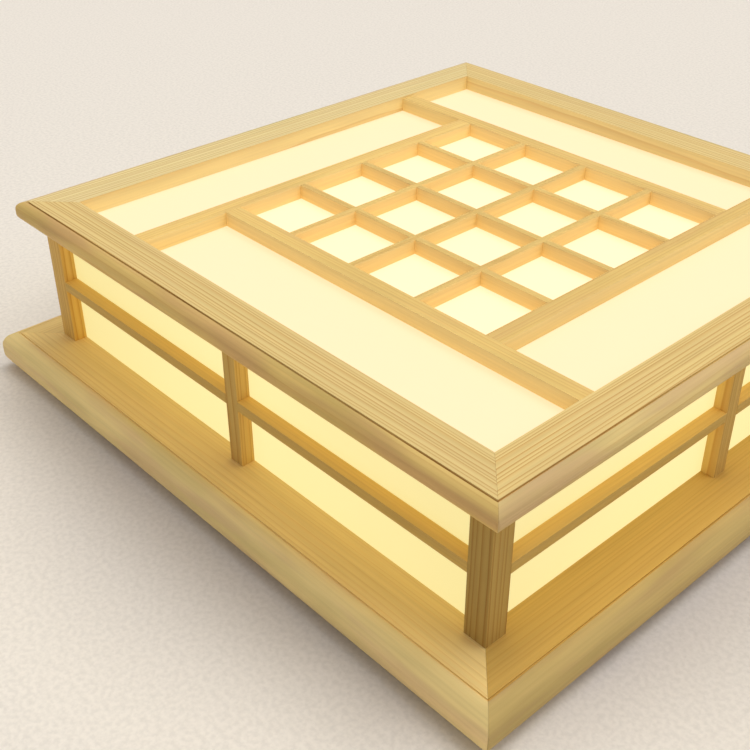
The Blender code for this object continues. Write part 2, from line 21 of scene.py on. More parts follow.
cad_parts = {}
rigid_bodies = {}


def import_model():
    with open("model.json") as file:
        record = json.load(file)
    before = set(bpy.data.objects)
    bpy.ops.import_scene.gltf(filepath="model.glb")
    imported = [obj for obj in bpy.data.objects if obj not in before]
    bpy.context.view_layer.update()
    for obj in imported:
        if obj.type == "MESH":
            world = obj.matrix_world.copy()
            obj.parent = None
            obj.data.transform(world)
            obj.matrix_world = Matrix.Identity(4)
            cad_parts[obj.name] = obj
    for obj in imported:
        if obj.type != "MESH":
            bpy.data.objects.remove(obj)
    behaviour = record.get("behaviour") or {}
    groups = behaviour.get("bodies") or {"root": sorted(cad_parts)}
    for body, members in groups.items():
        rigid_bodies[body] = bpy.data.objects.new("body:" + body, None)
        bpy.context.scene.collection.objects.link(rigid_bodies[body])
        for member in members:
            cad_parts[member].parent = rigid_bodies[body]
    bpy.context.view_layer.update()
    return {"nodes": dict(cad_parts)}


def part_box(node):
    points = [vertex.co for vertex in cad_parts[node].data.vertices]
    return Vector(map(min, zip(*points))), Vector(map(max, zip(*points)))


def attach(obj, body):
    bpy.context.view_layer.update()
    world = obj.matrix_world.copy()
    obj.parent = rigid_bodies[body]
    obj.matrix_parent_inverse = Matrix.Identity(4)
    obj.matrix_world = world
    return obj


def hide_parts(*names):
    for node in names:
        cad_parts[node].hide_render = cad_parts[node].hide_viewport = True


LOG = logging.getLogger("ceiling_lamp")
MM = 0.001
WOOD_SEED = 11
SIDES = ("front", "right", "back", "left")
CORNERS = ("front_left", "front_right", "back_right", "back_left")

# Outer edges sharper than this are arrises, and faces closer than the next one shade smoothly.
ARRIS_ANGLE = radians(35)
SMOOTH_ANGLE = radians(32)
# Triangles of one flat face differ by less than this.
FLAT_ANGLE = radians(0.5)
# Corners closer than these are one corner, on an eased piece and on a CAD node's copy.
EASED_MERGE = 0.001 * MM
NODE_MERGE = 0.002 * MM
# A face is square to an axis if more than this share of its normal lies along it.
SQUARE_ON = 0.9
# A face is a piece's side if less than this share of its normal lies along the flat's axis.
SIDEWAYS = 0.5
# Room that the solids leave round a sheet.
FIT_GAP = 0.3 * MM
AXIS_X, AXIS_Y, AXIS_Z = range(3)

Colour = tuple[float, float, float]
Place = tuple[float, float, float]
Span = tuple[float, float]
PerSide = tuple[float, float, float, float]
Outline = list[tuple[float, float]]
Socket = bpy.types.NodeSocket
Inputs = dict[str | int, object]


class Grain(Enum):
    """The lamp's axis that a piece's grain follows, with the turn that lays it along X."""

    X = (0.0, 0.0, 0.0)
    Y = (0.0, 0.0, -pi / 2)
    Z = (0.0, pi / 2, 0.0)


class Cut(Enum):
    """How a piece was sawn: the way to the heart of the log, in degrees from side to face."""

    QUARTER = 12.0
    RIFT = 42.0
    FLAT = 80.0


class Pick(Enum):
    """What edit mode selects."""

    VERT = "VERT"
    EDGE = "EDGE"
    FACE = "FACE"


class Glow(Enum):
    """Where a lit sheet dims: outside a square round its middle, or along its wall and up."""

    SQUARE = "square"
    WALL = "wall"


class RailPart(Enum):
    """The surfaces of a moulded rail, numbered as its finishes are; quirk and nose carry painted
    shade, the inner edge painted light.
    """

    WOOD = 0
    QUIRK = 1
    NOSE = 2
    INNER_EDGE = 3


class Surface(Enum):
    """The surfaces of a jointed piece, numbered as its finishes are: lit and shaded copies of one
    wood.
    """

    FLAT = 0
    SIDE = 1


class Drive(Enum):
    """The recess in a screw's head: the turns of its blades and their length in head radii."""

    SLOT = ((0.0,), 2.6)
    CROSS = ((0.0, pi / 2), 1.1)

    def __init__(self, turns: tuple[float, ...], length: float) -> None:
        """Take the turns and the length apart."""
        self.turns = turns
        self.length = length


SIDE_GRAIN = dict(zip(SIDES, (Grain.X, Grain.Y, Grain.X, Grain.Y)))
BAR_GRAIN = dict(zip(SIDES, (Grain.Y, Grain.X, Grain.Y, Grain.X)))


class NodeBoard:
    """Adds shader nodes to one tree and links them."""

    # Numbers of the Mix node's amount and two colours, and of the mixed colour.
    MIX_INPUTS = (0, 6, 7)
    MIX_OUTPUT = 2

    def __init__(self, tree: bpy.types.NodeTree) -> None:
        """Take the tree that the nodes go to."""
        self.tree = tree

    def fill(self, node: bpy.types.Node, inputs: Inputs) -> None:
        """Link or set inputs of a node.

        Args:
            node: The node.
            inputs: Sockets to link from, or plain values, by input name or number.
        """
        for name, value in inputs.items():
            if isinstance(value, Socket):
                self.tree.links.new(value, node.inputs[name])
            else:
                node.inputs[name].default_value = value

    def add(self, kind: str, inputs: Inputs | None = None, **settings: object) -> bpy.types.Node:
        """Add one node.

        Args:
            kind: The node's type without its ShaderNode prefix.
            inputs: Values or sockets by input name or number.
            **settings: Properties of the node.

        Returns:
            The new node.
        """
        node = self.tree.nodes.new("ShaderNode" + kind)
        for name, value in settings.items():
            setattr(node, name, value)
        self.fill(node, inputs or {})
        return node

    def coords(self) -> Socket:
        """Return the place on the object's own axes."""
        return self.add("TexCoord").outputs["Object"]

    def length(self, vector: Socket) -> Socket:
        """Return a vector's length."""
        return self.add("VectorMath", {0: vector}, operation="LENGTH").outputs["Value"]

    def math(self, operation: str, *values: object) -> Socket:
        """Return the result of a Math node on the given values."""
        return self.add("Math", dict(enumerate(values)), operation=operation).outputs[0]

    def stretch(self, vector: Socket, scale: Place) -> Socket:
        """Return a vector scaled along its three axes."""
        return self.add("Mapping", {"Vector": vector, "Scale": scale}).outputs[0]

    def noise(self, vector: Socket, scale: Place, detail: float = 2.0) -> Socket:
        """Return soft noise, about 0 to 1, with so many waves a metre along each axis."""
        inputs = {"Vector": self.stretch(vector, scale), "Scale": 1.0, "Detail": detail}
        return self.add("TexNoise", inputs).outputs[0]

    def noise_along(self, value: Socket, scale: float, detail: float) -> Socket:
        """Return soft noise, about 0 to 1, that follows one value."""
        inputs = {"W": value, "Scale": scale, "Detail": detail}
        return self.add("TexNoise", inputs, noise_dimensions="1D").outputs[0]

    def swing(self, value: Socket, reach: float) -> Socket:
        """Return a 0 to 1 value as one that swings about 0, by half the reach each way."""
        return self.math("MULTIPLY", self.math("SUBTRACT", value, 0.5), reach)

    def band(self, value: Socket, low: float, high: float) -> Socket:
        """Return 0 below low, 1 above high and a smooth rise between them."""
        inputs = {"Value": value, "From Min": low, "From Max": high}
        return self.add("MapRange", inputs, interpolation_type="SMOOTHSTEP").outputs[0]

    def ramp(self, value: Socket, stops: Iterable[tuple[float, Colour]]) -> Socket:
        """Return a colour that follows a value.

        Args:
            value: The value to follow, 0 to 1.
            stops: The colours and where they stand, in order.

        Returns:
            The colour socket.
        """
        node = self.add("ValToRGB", {"Fac": value})
        elements = node.color_ramp.elements
        while len(elements) > 1:
            elements.remove(elements[-1])
        for number, (position, colour) in enumerate(stops):
            element = elements[0] if number == 0 else elements.new(position)
            element.position = position
            element.color = (*colour, 1.0)
        return node.outputs[0]

    def mix(self, amount: object, first: object, second: object, way: str = "MIX") -> Socket:
        """Mix two colours.

        Args:
            amount: How much of the second colour there is, 0 to 1.
            first: The first colour or its socket.
            second: The second colour or its socket.
            way: The Mix node's way of mixing.

        Returns:
            The mixed colour's socket.
        """
        colours = [(*c, 1.0) if isinstance(c, tuple) else c for c in (first, second)]
        inputs = dict(zip(self.MIX_INPUTS, (amount, *colours)))
        return self.add("Mix", inputs, data_type="RGBA", blend_type=way).outputs[self.MIX_OUTPUT]

    def bump(self, height: Socket, strength: float, distance: float) -> Socket:
        """Return a normal that is tilted by a height."""
        inputs = {"Strength": strength, "Distance": distance, "Height": height}
        return self.add("Bump", inputs).outputs[0]


def new_material(name: str) -> tuple[bpy.types.Material, NodeBoard, bpy.types.Node]:
    """Start a node material.

    Args:
        name: The material's name.

    Returns:
        The material, the board of its nodes and its Principled shader.
    """
    material = bpy.data.materials.new(name)
    material.use_nodes = True
    return material, NodeBoard(material.node_tree), material.node_tree.nodes["Principled BSDF"]


def grey(level: float) -> Colour:
    """Return a grey colour of one level."""
    return (level, level, level)


def even(waves: float) -> Place:
    """Return the same number of waves along all three axes."""
    return (waves, waves, waves)


def middle_of(node: str) -> Vector:
    """Return the middle of a CAD node's box."""
    low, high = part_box(node)
    return (low + high) / 2


@dataclass(frozen=True)
class WoodLook:
    """How one surface differs from plain pine.

    The tone says how light it is and the heart how much of the redder heartwood's colour it has.
    The line says how strong its year rings are and the blotch how strong its patches are.
    """

    tone: float = 1.0
    heart: float = 0.0
    line: float = 1.0
    blotch: float = 0.1


@dataclass(frozen=True)
class Pine:
    """Straight-grained pine under a thin satin finish.

    The figure is a solid one: year rings round the heart of a log that lies beside the piece, so
    that a face shows lines, flames or bands as the piece was sawn. Waves are counts a metre along
    and across the grain, and an edge is the span of noise over which a mark fades in.
    """

    early_wood: Colour = (0.835, 0.623, 0.252)
    late_wood: Colour = (0.60, 0.33, 0.09)
    olive_wood: Colour = (0.55, 0.42, 0.155)
    rosy_wood: Colour = (0.67, 0.43, 0.22)
    knot_wood: Colour = (0.30, 0.145, 0.045)
    heart_tint: Colour = (1.0, 0.90, 0.68)
    # Where pieces lie in their logs, and how far the saw wanders, in degrees.
    heart_distance: float = 82 * MM
    log_places: Span = (0.5, 9.0)
    saw_wander: float = 7.0
    # How wide a year is, how its wood darkens from start to end, and how the rings wander.
    ring_pitch: float = 2.3 * MM
    ring_profile: tuple[Span, ...] = ((0.0, 0.0), (0.48, 0.05), (0.78, 0.46), (0.92, 1.0), (1.0, 0.0))
    bend_waves: Place = (2.2, 9, 9)
    bend: float = 11 * MM
    ripple_waves: Place = (10, 70, 70)
    ripple: float = 1.3 * MM
    # How years differ in width and in strength, with waves counted a year.
    width_waves: float = 0.31
    width_change: float = 2.4
    year_waves: float = 0.53
    year_edge: Span = (0.3, 0.7)
    weak_year: float = 0.36
    year_change: float = 0.55
    # Fibres, stained patches and pin knots.
    fibre_waves: Place = (16, 620, 620)
    fibre_contrast: float = 0.26
    olive_waves: Place = (9, 60, 60)
    rosy_waves: Place = (13, 90, 90)
    patch_edge: Span = (0.42, 0.70)
    knot_waves: Place = (7, 30, 30)
    knot_edge: Span = (0.03, 0.17)
    knot_chance: Span = (0.6, 0.62)
    # The satin surface.
    ring_relief: float = 0.6
    bump_depth: float = 0.35 * MM
    bump_strength: float = 0.22
    roughness: float = 0.46
    roughness_change: float = 0.18
    gloss: float = 0.10

    def figure(self) -> bpy.types.NodeTree:
        """Draw the wood in a node group that all pieces share, made on first use.

        Returns:
            The node group.
        """
        name = "pine_figure"
        if name in bpy.data.node_groups:
            return bpy.data.node_groups[name]
        tree = bpy.data.node_groups.new(name, "ShaderNodeTree")
        for socket, way, kind in (
                ("Place", "INPUT", "Vector"), ("Tint", "INPUT", "Color"),
                ("Line", "INPUT", "Float"), ("Blotch", "INPUT", "Float"),
                ("Colour", "OUTPUT", "Color"), ("Height", "OUTPUT", "Float"),
                ("Roughness", "OUTPUT", "Float")):
            tree.interface.new_socket(socket, in_out=way, socket_type=f"NodeSocket{kind}")
        board = NodeBoard(tree)
        start = tree.nodes.new("NodeGroupInput").outputs
        place, blotch = start["Place"], start["Blotch"]
        ring = board.math("MULTIPLY", self.year_rings(board, place), start["Line"])
        fibre = board.noise(place, self.fibre_waves, detail=3.0)
        colour = board.mix(ring, self.early_wood, self.late_wood)
        for wood, waves in ((self.olive_wood, self.olive_waves), (self.rosy_wood, self.rosy_waves)):
            patch = board.band(board.noise(place, waves), *self.patch_edge)
            colour = board.mix(board.math("MULTIPLY", patch, blotch), colour, wood)
        knot = board.math("MULTIPLY", self.pin_knots(board, place), blotch)
        colour = board.mix(knot, colour, self.knot_wood)
        streak = board.math("ADD", board.swing(fibre, self.fibre_contrast), 1.0)
        shade = board.add("CombineXYZ", {0: streak, 1: streak, 2: streak}).outputs[0]
        colour = board.mix(1.0, colour, shade, "MULTIPLY")
        board.fill(tree.nodes.new("NodeGroupOutput"), {
            "Colour": board.mix(1.0, colour, start["Tint"], "MULTIPLY"),
            "Height": board.math("MULTIPLY_ADD", ring, self.ring_relief, fibre),
            "Roughness": board.math("MULTIPLY_ADD", fibre, self.roughness_change, self.roughness),
        })
        return tree

    def year_rings(self, board: NodeBoard, place: Socket) -> Socket:
        """Draw rings that wander, differ in width and differ in strength from year to year.

        Args:
            board: The board of the group's nodes.
            place: The place in the log, with the grain along X.

        Returns:
            How much late wood there is, from 0 to about 0.9.
        """
        across = board.add("VectorMath", {0: place, 1: (0, 1, 1)}, operation="MULTIPLY").outputs[0]
        radius = board.length(across)
        bend = board.swing(board.noise(place, self.bend_waves), self.bend)
        ripple = board.swing(board.noise(place, self.ripple_waves), self.ripple)
        wandered = board.math("ADD", radius, board.math("ADD", bend, ripple))
        turns = board.math("DIVIDE", wandered, self.ring_pitch)
        width = board.noise_along(turns, self.width_waves, detail=1.0)
        turns = board.math("ADD", turns, board.swing(width, self.width_change))
        stops = [(position, grey(level)) for position, level in self.ring_profile]
        late = board.ramp(board.math("FRACT", turns), stops)
        year = board.band(board.noise_along(turns, self.year_waves, detail=0.0), *self.year_edge)
        strength = board.math("MULTIPLY_ADD", year, self.year_change, self.weak_year)
        return board.math("MULTIPLY", late, strength)

    def pin_knots(self, board: NodeBoard, place: Socket) -> Socket:
        """Draw a few small brown eyes that lie along the grain.

        Args:
            board: The board of the group's nodes.
            place: The place in the log, with the grain along X.

        Returns:
            1 in an eye and 0 beside it.
        """
        inputs = {"Vector": board.stretch(place, self.knot_waves), "Scale": 1.0}
        cells = board.add("TexVoronoi", inputs).outputs
        spot = board.math("SUBTRACT", 1.0, board.band(cells["Distance"], *self.knot_edge))
        chance = board.add("SeparateColor", {0: cells["Color"]}).outputs[0]
        return board.math("MULTIPLY", spot, board.band(chance, *self.knot_chance))

    def material(self, name: str, grain: Grain, offset: Vector, look: WoodLook) -> bpy.types.Material:
        """Make the finish of one surface.

        Args:
            name: The material's name.
            grain: The axis that the grain follows.
            offset: The step from the turned piece to its place in the log.
            look: How the surface differs from plain pine.

        Returns:
            The new material.
        """
        material, board, shader = new_material(name)
        tint = [look.tone * (1.0 + look.heart * (level - 1.0)) for level in self.heart_tint]
        place = {"Vector": board.coords(), "Location": offset, "Rotation": grain.value}
        figure = board.add("Group", {
            "Place": board.add("Mapping", place).outputs[0], "Tint": (*tint, 1.0),
            "Line": look.line, "Blotch": look.blotch,
        }, node_tree=self.figure()).outputs
        board.fill(shader, {
            "Base Color": figure["Colour"], "Roughness": figure["Roughness"],
            "Normal": board.bump(figure["Height"], self.bump_strength, self.bump_depth),
            "Specular IOR Level": self.gloss,
        })
        return material

    def coat(self, piece: bpy.types.Object, node: str, grain: Grain, cut: Cut, draw: random.Random,
             looks: dict[Enum, WoodLook]) -> None:
        """Give a piece a finish for each of its surfaces, all from one place in one log.

        Args:
            piece: The piece to dress.
            node: The CAD node that it stands for.
            grain: The axis that the grain follows.
            cut: How the piece was sawn.
            draw: The source of its place in the log.
            looks: How the surfaces differ from plain pine, in the order of the finishes.
        """
        way = radians(cut.value + draw.uniform(-self.saw_wander, self.saw_wander))
        log = self.heart_distance * Vector((0, cos(way), sin(way)))
        log.x = draw.uniform(*self.log_places)
        _, about_y, about_z = grain.value
        turn = Matrix.Rotation(about_y, 3, "Y") @ Matrix.Rotation(about_z, 3, "Z")
        offset = log - turn @ middle_of(node)
        for surface, look in looks.items():
            name = f"{node}_{surface.name.lower()}"
            piece.data.materials.append(self.material(name, grain, offset, look))


@dataclass(frozen=True)
class OpalSheet:
    """Opal plastic sheet with warm light behind it, bright up to its core and dim past its reach."""

    name: str
    glow: Glow
    surface: Colour
    bright: Colour
    dim: Colour
    strength: float
    core: float
    reach: float
    # Painted shade: the surface colour darkens by this share where the glow dims.
    surface_painted_shade: float = 0.94
    mottle_waves: float = 45.0
    mottle: float = 0.16
    roughness: float = 0.75
    gloss: float = 0.15

    def material(self) -> bpy.types.Material:
        """Make the finish.

        Returns:
            The new material.
        """
        material, board, shader = new_material(self.name)
        coords = board.coords()
        parts = board.add("SeparateXYZ", {0: coords}).outputs
        x, y = (board.math("ABSOLUTE", parts[axis]) for axis in "XY")
        if self.glow is Glow.SQUARE:
            distance = board.math("MAXIMUM", x, y)
        else:
            distance = board.math("ADD", board.math("MINIMUM", x, y), parts["Z"])
        share = board.band(distance, self.core, self.reach)
        mottle = board.swing(board.noise(coords, even(self.mottle_waves), detail=3.0), self.mottle)
        light = board.ramp(board.math("ADD", share, mottle), [(0.0, self.bright), (1.0, self.dim)])
        # The surface darkens with the glow: painted shade.
        darker = tuple(self.surface_painted_shade * level for level in self.surface)
        board.fill(shader, {
            "Base Color": board.mix(share, self.surface, darker), "Emission Color": light,
            "Emission Strength": self.strength, "Roughness": self.roughness,
            "Specular IOR Level": self.gloss,
        })
        return material


@dataclass(frozen=True)
class Coating:
    """A painted, moulded or plated surface with a fine skin, whose colour clouds into a shade."""

    name: str
    colour: Colour
    shade: Colour
    roughness: float
    skin_waves: float
    skin_depth: float
    metallic: float = 0.0
    transmission: float = 0.0
    glow: float = 0.0
    skin_strength: float = 0.3
    roughness_change: float = 0.16
    cloud_waves: float = 14.0
    cloud_edge: Span = (0.35, 0.72)

    def material(self) -> bpy.types.Material:
        """Make the finish.

        Returns:
            The new material.
        """
        material, board, shader = new_material(self.name)
        coords = board.coords()
        skin = board.noise(coords, even(self.skin_waves), detail=3.0)
        cloud = board.noise(coords, even(self.cloud_waves), detail=3.0)
        colour = board.mix(board.band(cloud, *self.cloud_edge), self.colour, self.shade)
        roughness = board.math("ADD", board.swing(skin, self.roughness_change), self.roughness)
        board.fill(shader, {
            "Base Color": colour, "Roughness": roughness,
            "Normal": board.bump(skin, self.skin_strength, self.skin_depth),
            "Metallic": self.metallic, "Transmission Weight": self.transmission,
        })
        if self.glow:
            board.fill(shader, {"Emission Color": colour, "Emission Strength": self.glow})
        return material


FACE_GLOW = OpalSheet(
    "opal_face", Glow.SQUARE, surface=(0.24, 0.225, 0.19), bright=(0.88, 0.622, 0.358),
    dim=(0.75, 0.542, 0.302), strength=1.32, core=0.10, reach=0.12)
SIDE_GLOW = OpalSheet(
    "opal_side", Glow.WALL, surface=(0.24, 0.225, 0.18), bright=(0.82, 0.695, 0.295),
    dim=(0.74, 0.615, 0.24), strength=1.1, core=0.045, reach=0.30)
STEEL = Coating(
    "powder_coat", (0.84, 0.84, 0.82), (0.80, 0.80, 0.78),
    roughness=0.44, skin_waves=900, skin_depth=0.12 * MM)
BOARD = Coating(
    "solder_mask", (0.90, 0.90, 0.87), (0.86, 0.86, 0.83),
    roughness=0.36, skin_waves=500, skin_depth=0.04 * MM)
LENS = Coating(
    "clear_lens", (0.96, 0.97, 0.96), (0.93, 0.95, 0.94),
    roughness=0.10, skin_waves=60, skin_depth=0.02 * MM, transmission=1.0)
CASE = Coating(
    "white_moulding", (0.86, 0.86, 0.83), (0.82, 0.82, 0.79),
    roughness=0.48, skin_waves=1400, skin_depth=0.10 * MM)
TERMINAL = Coating(
    "cream_moulding", (0.82, 0.78, 0.66), (0.77, 0.73, 0.60),
    roughness=0.40, skin_waves=1200, skin_depth=0.08 * MM)
RUBBER = Coating(
    "black_rubber", (0.035, 0.035, 0.035), (0.055, 0.053, 0.05),
    roughness=0.72, skin_waves=800, skin_depth=0.12 * MM)
PHOSPHOR = Coating(
    "chip_phosphor", (1.0, 0.74, 0.28), (0.95, 0.66, 0.22),
    roughness=0.6, skin_waves=1500, skin_depth=0.02 * MM, glow=1.2)
ZINC = Coating(
    "zinc_plate", (0.66, 0.66, 0.64), (0.58, 0.58, 0.55),
    roughness=0.30, skin_waves=700, skin_depth=0.03 * MM, metallic=1.0)
BRASS = Coating(
    "brass", (0.78, 0.60, 0.30), (0.70, 0.52, 0.24),
    roughness=0.32, skin_waves=700, skin_depth=0.03 * MM, metallic=1.0)
NICKEL = replace(ZINC, name="nickel_plate")


class Bench:
    """The joiner's bench: edit-mode tools that the sub-assemblies share."""

    @staticmethod
    def deselect() -> None:
        """Leave nothing selected, so that an operator acts on the new piece alone."""
        bpy.ops.object.select_all(action="DESELECT")

    @staticmethod
    def take(piece: bpy.types.Object) -> None:
        """Make one piece the only one selected, and the active one.

        Args:
            piece: The piece to take.
        """
        Bench.deselect()
        piece.select_set(True)
        bpy.context.view_layer.objects.active = piece

    @staticmethod
    def edit(piece: bpy.types.Object, pick: Pick = Pick.EDGE,
             wanted: Callable[..., bool] | None = None) -> None:
        """Open one piece in edit mode, with all or some of it selected.

        Args:
            piece: The piece to open.
            pick: What is selected there.
            wanted: Says which edges or faces are selected, where not all are.
        """
        Bench.take(piece)
        bpy.ops.object.mode_set(mode="EDIT")
        bpy.ops.mesh.select_mode(type=pick.value)
        bpy.ops.mesh.select_all(action="DESELECT" if wanted else "SELECT")
        if wanted:
            bm = bmesh.from_edit_mesh(piece.data)
            for item in bm.edges if pick is Pick.EDGE else bm.faces:
                item.select_set(wanted(item))
            bmesh.update_edit_mesh(piece.data)

    @staticmethod
    def close() -> None:
        """Leave edit mode."""
        bpy.ops.object.mode_set(mode="OBJECT")

    @staticmethod
    def ease(piece: bpy.types.Object, width: float, segments: int = 2,
             sharp: Callable[[bmesh.types.BMEdge], bool] | None = None) -> None:
        """Round the outer arrises of a piece and shade it.

        Args:
            piece: The piece to ease.
            width: How far the rounding reaches from the arris.
            segments: The faces across the rounding.
            sharp: Says which edges stay sharp, so that a joint closes tight.
        """
        def arris(edge: bmesh.types.BMEdge) -> bool:
            """Return whether an edge is rounded."""
            outer = edge.is_manifold and edge.calc_face_angle_signed() > ARRIS_ANGLE
            return outer and not (sharp and sharp(edge))

        Bench.edit(piece, Pick.EDGE, arris)
        bpy.ops.mesh.bevel(offset=width, segments=segments, affect="EDGES", clamp_overlap=True)
        bpy.ops.mesh.select_all(action="SELECT")
        bpy.ops.mesh.remove_doubles(threshold=EASED_MERGE)
        Bench.close()
        bpy.ops.object.shade_smooth_by_angle(angle=SMOOTH_ANGLE)

    @staticmethod
    def set_out(name: str, mesh: bpy.types.Mesh) -> bpy.types.Object:
        """Put a finished mesh in the scene.

        Args:
            name: The new piece's name.
            mesh: Its mesh, which gets the same name.

        Returns:
            The new piece, at the origin.
        """
        mesh.name = name
        piece = bpy.data.objects.new(name, mesh)
        bpy.context.scene.collection.objects.link(piece)
        return piece

    @staticmethod
    def copy_of_node(node: str, name: str) -> bpy.types.Object:
        """Copy a CAD node's mesh to a new piece, with its loose triangles merged to whole faces.

        Args:
            node: The node to copy.
            name: The new piece's name.

        Returns:
            The new piece.
        """
        mesh = bpy.data.objects[node].data.copy()
        mesh.materials.clear()
        piece = Bench.set_out(name, mesh)
        Bench.edit(piece)
        bpy.ops.mesh.customdata_custom_splitnormals_clear()
        bpy.ops.mesh.remove_doubles(threshold=NODE_MERGE)
        bpy.ops.mesh.dissolve_limited(angle_limit=FLAT_ANGLE)
        Bench.close()
        return piece

    @staticmethod
    def draw_section(name: str, section: Outline, start: float, end: float) -> bpy.types.Object:
        """Draw a section corner by corner and extrude it along X.

        Args:
            name: The new piece's name.
            section: Corners as (distance in front of the centre line, height).
            start: Where the piece starts along X.
            end: Where it ends.

        Returns:
            The new piece, at the origin.
        """
        Bench.deselect()
        out, height = section[0]
        bpy.ops.mesh.primitive_plane_add(size=MM, location=(start, -out, height))
        piece = bpy.context.object
        piece.name = piece.data.name = name
        Bench.edit(piece, Pick.VERT)
        bpy.ops.mesh.merge(type="CENTER")
        for before, after in zip(section, section[1:]):
            step = (0.0, before[0] - after[0], after[1] - before[1])
            bpy.ops.mesh.extrude_region_move(TRANSFORM_OT_translate={"value": step})
        bpy.ops.mesh.select_all(action="SELECT")
        bpy.ops.mesh.edge_face_add()
        bpy.ops.mesh.extrude_region_move(TRANSFORM_OT_translate={"value": (end - start, 0.0, 0.0)})
        bpy.ops.mesh.select_all(action="SELECT")
        bpy.ops.mesh.normals_make_consistent(inside=False)
        Bench.close()
        bpy.ops.object.transform_apply(location=True, rotation=True, scale=True)
        return piece

    @staticmethod
    def saw(piece: bpy.types.Object, point: Place | Vector, away: Place | Vector) -> None:
        """Cut a piece along a plane and close the cut.

        Args:
            piece: The piece to cut.
            point: A point of the plane.
            away: The direction of the waste.
        """
        Bench.edit(piece)
        bpy.ops.mesh.bisect(plane_co=point, plane_no=away, use_fill=True, clear_outer=True)
        Bench.close()

    @staticmethod
    def turned_copy(piece: bpy.types.Object, name: str, quarter_turns: int) -> bpy.types.Object:
        """Copy a piece with its own mesh, turned about the lamp's centre line.

        Args:
            piece: The piece to copy.
            name: The new piece's name.
            quarter_turns: How far it is turned.

        Returns:
            The new piece.
        """
        mesh = piece.data.copy()
        mesh.transform(Matrix.Rotation(quarter_turns * pi / 2, 4, "Z"))
        return Bench.set_out(name, mesh)


def seat(piece: bpy.types.Object, body: str, nodes: Iterable[str] = ()) -> None:
    """Let a finished piece ride on its body and stand for its CAD nodes.

    Args:
        piece: The piece.
        body: The CAD body that carries it.
        nodes: The CAD nodes that it stands for.
    """
    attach(piece, body)
    for node in nodes:
        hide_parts(node)
    LOG.info("%s rides on %s", piece.name, body)


def dress_node(node: bpy.types.Object, material: bpy.types.Material) -> None:
    """Give a CAD node that stays one finish all over.

    Args:
        node: The CAD node.
        material: Its finish.
    """
    node.data.materials.clear()
    node.data.materials.append(material)
    LOG.info("%s dressed with %s", node.name, material.name)


